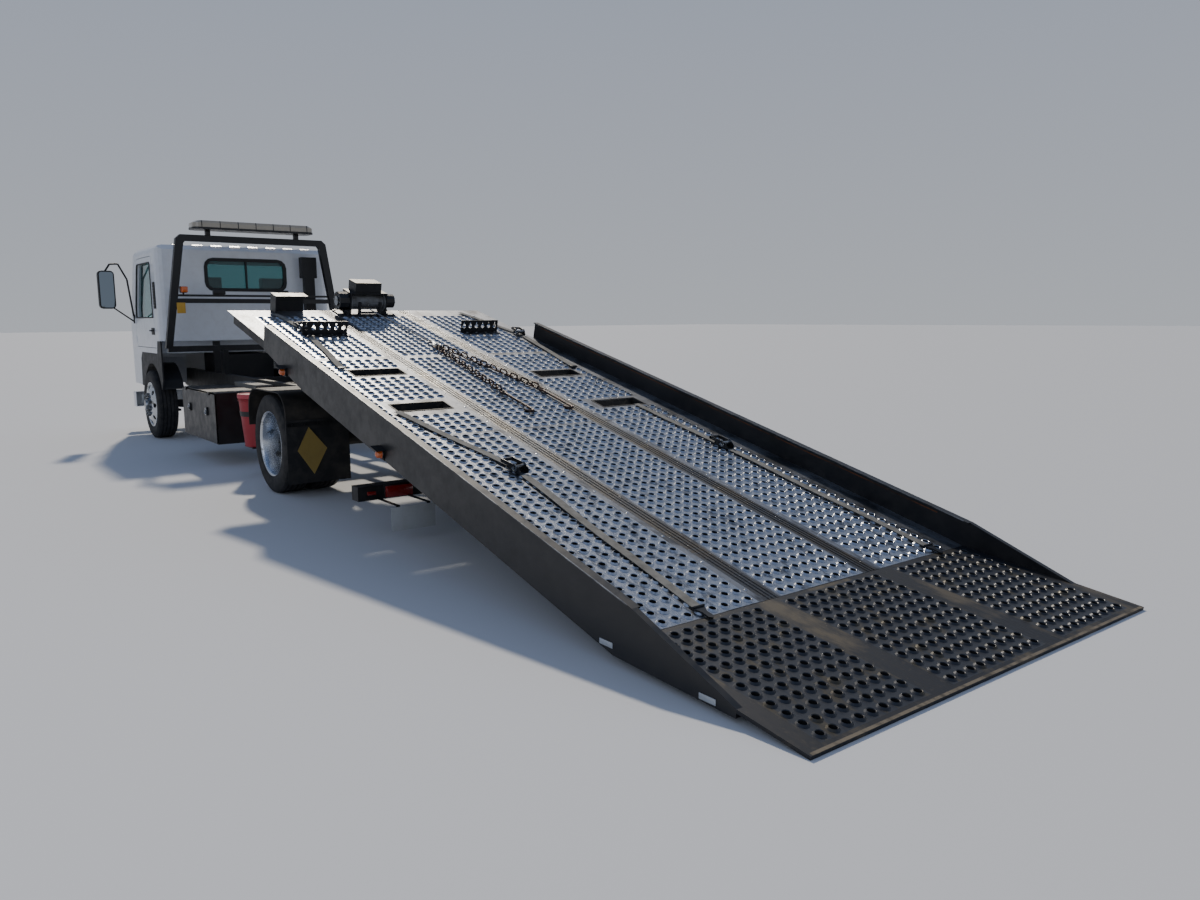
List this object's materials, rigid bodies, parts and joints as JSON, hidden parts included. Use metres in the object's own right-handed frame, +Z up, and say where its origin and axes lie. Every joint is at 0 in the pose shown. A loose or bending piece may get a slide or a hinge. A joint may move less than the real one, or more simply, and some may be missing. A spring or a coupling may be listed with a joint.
{
  "type": "flatbed tow truck",
  "caption": "Flatbed tow truck with its perforated bed slid back and tilted, tail on the ground, winch, tow chain and straps on the deck.",
  "frame": {"origin": "on the ground, at the centre of the overall length and width", "axes": "+X forward to the cab, +Y to the driver's left, +Z up"},
  "size_m": [11.3, 2.77, 2.495],
  "materials": {
    "white_paint": "gloss",
    "black_paint": "satin",
    "grey_paint": "satin",
    "deck_metal": "matte",
    "grooved_steel": "matte",
    "ramp_steel": "matte",
    "bare_steel": "satin",
    "chain_steel": "matte",
    "aluminium": "satin",
    "tyre_rubber": "matte",
    "webbing": "matte",
    "glass": "gloss",
    "amber": "gloss",
    "red_plastic": "satin",
    "black_plastic": "matte",
    "chrome": "gloss"
  },
  "bodies": {
    "chassis": {"chassis_frame": "black_paint", "front_bumper": "white_paint", "leaf_springs": "black_paint", "rear_axle": "black_paint", "front_axle": "black_paint", "engine_block": "black_paint", "drive_shaft": "black_paint", "fuel_tank": "aluminium", "side_boxes": "grey_paint", "toolbox": "black_paint", "pail": "red_plastic", "pail_holder": "black_paint", "rear_fenders": "black_paint", "headboard": "black_paint", "light_bar": "amber", "lamps": "red_plastic", "air_intake": "black_plastic"},
    "toolbox_lid": {"toolbox_lid": "black_paint"},
    "cab": {"cab_shell": "white_paint", "cab_glass": "glass", "cab_interior": "black_plastic", "cab_trim": "black_plastic", "mirrors": "black_plastic"},
    "tilt": {"tilt_frame": "black_paint", "slide_barrel": "black_paint"},
    "sleeve": {"slide_sleeve": "chrome"},
    "bed": {"bed_frame": "black_paint", "deck_panels": "deck_metal", "deck_channels": "grooved_steel", "ramp": "ramp_steel", "side_rails": "black_paint", "marker_lamps": "amber", "deck_fittings": "black_paint", "winch": "black_paint", "winch_drum": "bare_steel", "winch_rope": "bare_steel", "tow_chain": "chain_steel", "strap_webbing": "webbing", "strap_ratchets": "bare_steel", "slide_rod": "chrome"},
    "lift_barrel_left": {"lift_barrel_left": "black_paint"},
    "lift_rod_left": {"lift_rod_left": "chrome"},
    "knuckle_left": {"knuckle_left": "black_paint"},
    "front_wheel_left": {"tyre_front_left": "tyre_rubber", "rim_front_left": "bare_steel"},
    "rear_wheels_left": {"tyres_rear_left": "tyre_rubber", "rims_rear_left": "bare_steel"},
    "door_left": {"door_left": "white_paint", "door_glass_left": "glass"},
    "lift_barrel_right": {"lift_barrel_right": "black_paint"},
    "lift_rod_right": {"lift_rod_right": "chrome"},
    "knuckle_right": {"knuckle_right": "black_paint"},
    "front_wheel_right": {"tyre_front_right": "tyre_rubber", "rim_front_right": "bare_steel"},
    "rear_wheels_right": {"tyres_rear_right": "tyre_rubber", "rims_rear_right": "bare_steel"},
    "door_right": {"door_right": "white_paint", "door_glass_right": "glass"}
  },
  "joints": [
    {"name": "bed_tilt", "type": "hinge", "parent": "chassis", "child": "tilt", "pos_m": [-1.3, 0, 0.8], "axis": [0, 1, 0], "range_deg": [0, 14.2]},
    {"name": "bed_slide", "type": "slide", "parent": "tilt", "child": "bed", "axis": [0.9694, 0, 0.2453], "range_m": [0, 2.75]},
    {"name": "sleeve_slide", "type": "slide", "parent": "tilt", "child": "sleeve", "axis": [0.9694, 0, 0.2453], "range_m": [0, 1.375]},
    {"name": "lift_foot_left", "type": "hinge", "parent": "chassis", "child": "lift_barrel_left", "pos_m": [-0.65, 0.27, 0.52], "axis": [0, 1, 0], "range_deg": [0, 19.14]},
    {"name": "lift_stroke_left", "type": "slide", "parent": "lift_barrel_left", "child": "lift_rod_left", "axis": [0.885, 0, 0.4657], "range_m": [-0.11653, 0]},
    {"name": "steer_left", "type": "hinge", "parent": "chassis", "child": "knuckle_left", "pos_m": [4.51, 0.79, 0.40245], "axis": [0, 0, 1], "range_deg": [-38, 38]},
    {"name": "front_spin_left", "type": "hinge", "parent": "knuckle_left", "child": "front_wheel_left", "pos_m": [4.51, 0.93, 0.40245], "axis": [0, 1, 0], "continuous": true},
    {"name": "rear_spin_left", "type": "hinge", "parent": "chassis", "child": "rear_wheels_left", "pos_m": [0.04, 0.8315, 0.40245], "axis": [0, 1, 0], "continuous": true},
    {"name": "door_hinge_left", "type": "hinge", "parent": "cab", "child": "door_left", "pos_m": [5.227, 1, 1.28], "axis": [0, 0, 1], "range_deg": [-70, 0]},
    {"name": "lift_foot_right", "type": "hinge", "parent": "chassis", "child": "lift_barrel_right", "pos_m": [-0.65, -0.27, 0.52], "axis": [0, 1, 0], "range_deg": [0, 19.14]},
    {"name": "lift_stroke_right", "type": "slide", "parent": "lift_barrel_right", "child": "lift_rod_right", "axis": [0.885, 0, 0.4657], "range_m": [-0.11653, 0]},
    {"name": "steer_right", "type": "hinge", "parent": "chassis", "child": "knuckle_right", "pos_m": [4.51, -0.79, 0.40245], "axis": [0, 0, 1], "range_deg": [-38, 38]},
    {"name": "front_spin_right", "type": "hinge", "parent": "knuckle_right", "child": "front_wheel_right", "pos_m": [4.51, -0.93, 0.40245], "axis": [0, 1, 0], "continuous": true},
    {"name": "rear_spin_right", "type": "hinge", "parent": "chassis", "child": "rear_wheels_right", "pos_m": [0.04, -0.8315, 0.40245], "axis": [0, 1, 0], "continuous": true},
    {"name": "door_hinge_right", "type": "hinge", "parent": "cab", "child": "door_right", "pos_m": [5.227, -1, 1.28], "axis": [0, 0, 1], "range_deg": [0, 70]},
    {"name": "cab_tilt", "type": "hinge", "parent": "chassis", "child": "cab", "pos_m": [5.5, 0, 0.6], "axis": [0, 1, 0], "range_deg": [0, 45]},
    {"name": "toolbox_lid_hinge", "type": "hinge", "parent": "chassis", "child": "toolbox_lid", "pos_m": [2.265, 1.057, 0.703], "axis": [1, 0, 0], "range_deg": [0, 85]}
  ],
  "couplings": [
    {"joint": "sleeve_slide", "follows": "bed_slide", "ratio": 0.5},
    {"joint": "lift_foot_left", "follows": "bed_tilt", "ratio": 1.3469},
    {"joint": "lift_stroke_left", "follows": "bed_tilt", "m_per_rad": -0.46815},
    {"joint": "lift_foot_right", "follows": "bed_tilt", "ratio": 1.3469},
    {"joint": "lift_stroke_right", "follows": "bed_tilt", "m_per_rad": -0.46815},
    {"joint": "steer_right", "follows": "steer_left", "ratio": 1}
  ]
}
